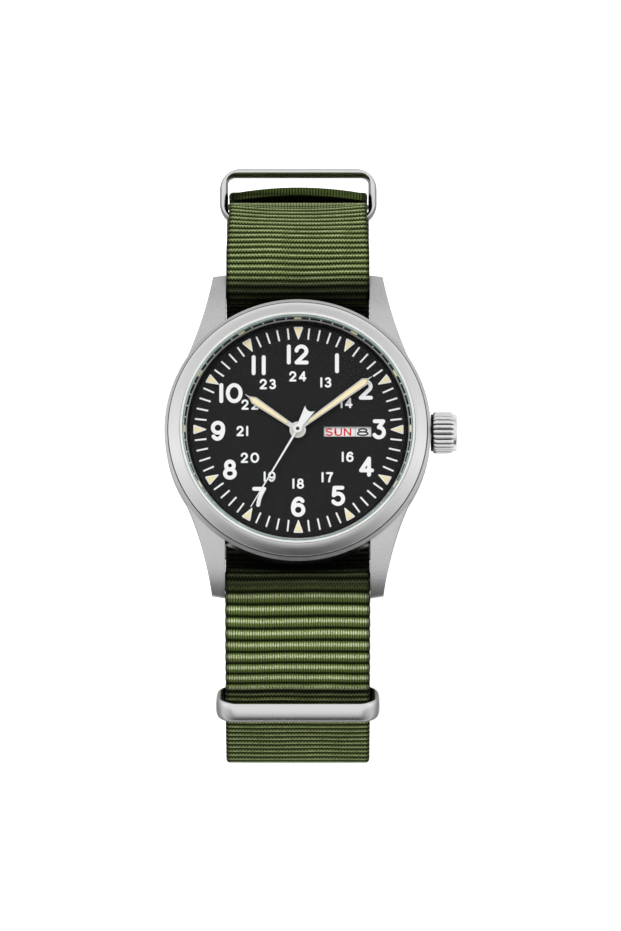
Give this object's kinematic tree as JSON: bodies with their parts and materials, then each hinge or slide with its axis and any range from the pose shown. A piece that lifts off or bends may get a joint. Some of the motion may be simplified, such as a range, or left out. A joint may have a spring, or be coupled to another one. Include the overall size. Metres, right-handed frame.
{
  "type": "wrist watch",
  "caption": "Field watch: round steel case with four lugs, black day-date dial, fluted crown, on a green pass-through webbing strap with ring keepers and a tang buckle, closed as worn.",
  "frame": {"origin": "on the axis of the hands, at mid height of the strap's wrist opening", "axes": "+X towards the crown at 3 o'clock and along the wrist opening, +Y towards 12 o'clock, +Z out of the dial"},
  "size_m": [0.0411, 0.0889, 0.0547],
  "materials": {
    "satin_steel": "fine satin",
    "bezel_steel": "circular brushed",
    "keeper_steel": "satin",
    "crystal_glass": "clear",
    "white_gasket": "matt",
    "black_ring": "matt",
    "black_dial": "matt black paint",
    "cream_paint": "luminous cream",
    "hand_metal": "bright edges",
    "white_hand": "white paint",
    "train_steel": "polished",
    "train_brass": "bright",
    "white_plastic": "moulded",
    "white_disc": "printed",
    "battery_steel": "drawn",
    "copper_winding": "lacquered wire",
    "stator_iron": "stamped sheet",
    "green_board": "solder mask",
    "black_rubber": "matt",
    "green_webbing": "ribbed weave"
  },
  "bodies": {
    "watch": {"case_middle": "satin_steel", "case_back": "satin_steel", "back_gasket": "black_rubber", "bezel": "bezel_steel", "crystal": "crystal_glass", "crystal_gasket": "white_gasket", "chapter_ring": "black_ring", "dial": "black_dial", "hour_markers": "cream_paint", "crown_tube": "satin_steel", "movement_ring": "white_plastic", "main_plate": "train_brass", "train_bridge": "train_brass", "battery": "battery_steel", "battery_clamp": "train_steel", "circuit_board": "green_board", "quartz_can": "battery_steel", "coil": "copper_winding", "stator": "stator_iron", "spring_bar_12": "train_steel", "spring_bar_6": "train_steel", "bar_spring_12": "train_steel", "bar_spring_6": "train_steel", "long_band": "green_webbing", "short_band": "green_webbing"},
    "minute_group": {"cannon_pinion": "train_steel", "minute_hand": "hand_metal"},
    "hour_group": {"hour_wheel": "train_brass", "hour_hand": "hand_metal"},
    "minute_wheel_group": {"minute_wheel": "train_brass"},
    "seconds_group": {"fourth_wheel": "train_brass", "seconds_hand": "white_hand"},
    "third_wheel_group": {"third_wheel": "train_brass"},
    "center_wheel_group": {"center_wheel": "train_brass"},
    "fifth_wheel_group": {"fifth_wheel": "train_brass"},
    "rotor_group": {"rotor": "stator_iron"},
    "day_group": {"day_disc": "white_disc"},
    "date_group": {"date_ring": "white_disc"},
    "clutch_group": {"clutch_wheel": "train_steel"},
    "crown_group": {"crown": "satin_steel", "stem": "train_steel", "crown_gasket": "black_rubber"},
    "setting_lever_group": {"setting_lever": "train_steel"},
    "tip_12_right": {"bar_tip_12_right": "train_steel"},
    "tip_12_left": {"bar_tip_12_left": "train_steel"},
    "tip_6_right": {"bar_tip_6_right": "train_steel"},
    "tip_6_left": {"bar_tip_6_left": "train_steel"},
    "tail_keeper_group": {"tail_keeper": "keeper_steel"},
    "case_keeper_group": {"case_keeper": "keeper_steel"},
    "buckle_group": {"buckle_frame": "keeper_steel", "buckle_bar": "keeper_steel"},
    "tang_group": {"buckle_tang": "keeper_steel"}
  },
  "joints": [
    {"name": "minute_turn", "type": "hinge", "parent": "watch", "child": "minute_group", "pos_m": [0, 0, 0.02655], "axis": [0, 0, 1], "continuous": true},
    {"name": "hour_turn", "type": "hinge", "parent": "watch", "child": "hour_group", "pos_m": [0, 0, 0.02655], "axis": [0, 0, 1], "continuous": true},
    {"name": "minute_wheel_turn", "type": "hinge", "parent": "watch", "child": "minute_wheel_group", "pos_m": [-0.00114, 0.00245, 0.02555], "axis": [0, 0, 1], "continuous": true},
    {"name": "seconds_turn", "type": "hinge", "parent": "watch", "child": "seconds_group", "pos_m": [0, 0, 0.02655], "axis": [0, 0, 1], "continuous": true},
    {"name": "third_wheel_turn", "type": "hinge", "parent": "watch", "child": "third_wheel_group", "pos_m": [-0.00338, -0.00123, 0.02415], "axis": [0, 0, 1], "continuous": true},
    {"name": "center_wheel_turn", "type": "hinge", "parent": "watch", "child": "center_wheel_group", "pos_m": [0, 0, 0.0246], "axis": [0, 0, 1], "continuous": true},
    {"name": "fifth_wheel_turn", "type": "hinge", "parent": "watch", "child": "fifth_wheel_group", "pos_m": [0.0018, 0.00312, 0.02415], "axis": [0, 0, 1], "continuous": true},
    {"name": "rotor_turn", "type": "hinge", "parent": "watch", "child": "rotor_group", "pos_m": [0.00136, 0.0056, 0.02455], "axis": [0, 0, 1], "continuous": true},
    {"name": "day_turn", "type": "hinge", "parent": "watch", "child": "day_group", "pos_m": [0, 0, 0.02635], "axis": [0, 0, 1], "continuous": true},
    {"name": "date_turn", "type": "hinge", "parent": "watch", "child": "date_group", "pos_m": [0, 0, 0.02635], "axis": [0, 0, 1], "continuous": true},
    {"name": "crown_turn", "type": "hinge", "parent": "watch", "child": "clutch_group", "pos_m": [0.0072, 0, 0.02535], "axis": [1, 0, 0], "continuous": true},
    {"name": "crown_pull", "type": "slide", "parent": "clutch_group", "child": "crown_group", "axis": [1, 0, 0], "range_m": [0, 0.0015]},
    {"name": "setting_lever_swing", "type": "hinge", "parent": "watch", "child": "setting_lever_group", "pos_m": [0.0103, 0.0036, 0.02535], "axis": [0, 0, 1], "range_deg": [0, 28.48]},
    {"name": "bar_tip_12_right_slide", "type": "slide", "parent": "watch", "child": "tip_12_right", "axis": [-1, 0, 0], "range_m": [0, 0.001], "stiffness_N_per_m": 1200, "springref_m": -0.0005},
    {"name": "bar_tip_12_left_slide", "type": "slide", "parent": "watch", "child": "tip_12_left", "axis": [1, 0, 0], "range_m": [0, 0.001], "stiffness_N_per_m": 1200, "springref_m": -0.0005},
    {"name": "bar_tip_6_right_slide", "type": "slide", "parent": "watch", "child": "tip_6_right", "axis": [-1, 0, 0], "range_m": [0, 0.001], "stiffness_N_per_m": 1200, "springref_m": -0.0005},
    {"name": "bar_tip_6_left_slide", "type": "slide", "parent": "watch", "child": "tip_6_left", "axis": [1, 0, 0], "range_m": [0, 0.001], "stiffness_N_per_m": 1200, "springref_m": -0.0005},
    {"name": "tail_keeper_swing", "type": "hinge", "parent": "watch", "child": "tail_keeper_group", "pos_m": [0, 0.03675, 0], "axis": [1, 0, 0], "range_deg": [-5, 5]},
    {"name": "case_keeper_swing", "type": "hinge", "parent": "watch", "child": "case_keeper_group", "pos_m": [0, -0.0353, 0.0127], "axis": [1, 0, 0], "range_deg": [-4, 4]},
    {"name": "buckle_swing", "type": "hinge", "parent": "watch", "child": "buckle_group", "pos_m": [0, 0.006, -0.02088], "axis": [1, 0, 0], "range_deg": [0, 8]},
    {"name": "tang_swing", "type": "hinge", "parent": "buckle_group", "child": "tang_group", "pos_m": [0, 0.006, -0.02088], "axis": [1, 0, 0], "range_deg": [0, 3]}
  ],
  "couplings": [
    {"joint": "hour_turn", "follows": "minute_turn", "ratio": 0.083333},
    {"joint": "minute_wheel_turn", "follows": "minute_turn", "ratio": -0.33333},
    {"joint": "third_wheel_turn", "follows": "seconds_turn", "ratio": -0.125},
    {"joint": "center_wheel_turn", "follows": "seconds_turn", "ratio": 0.016667},
    {"joint": "fifth_wheel_turn", "follows": "seconds_turn", "ratio": -5},
    {"joint": "rotor_turn", "follows": "seconds_turn", "ratio": 30},
    {"joint": "setting_lever_swing", "follows": "crown_pull", "rad_per_m": 329.06}
  ]
}
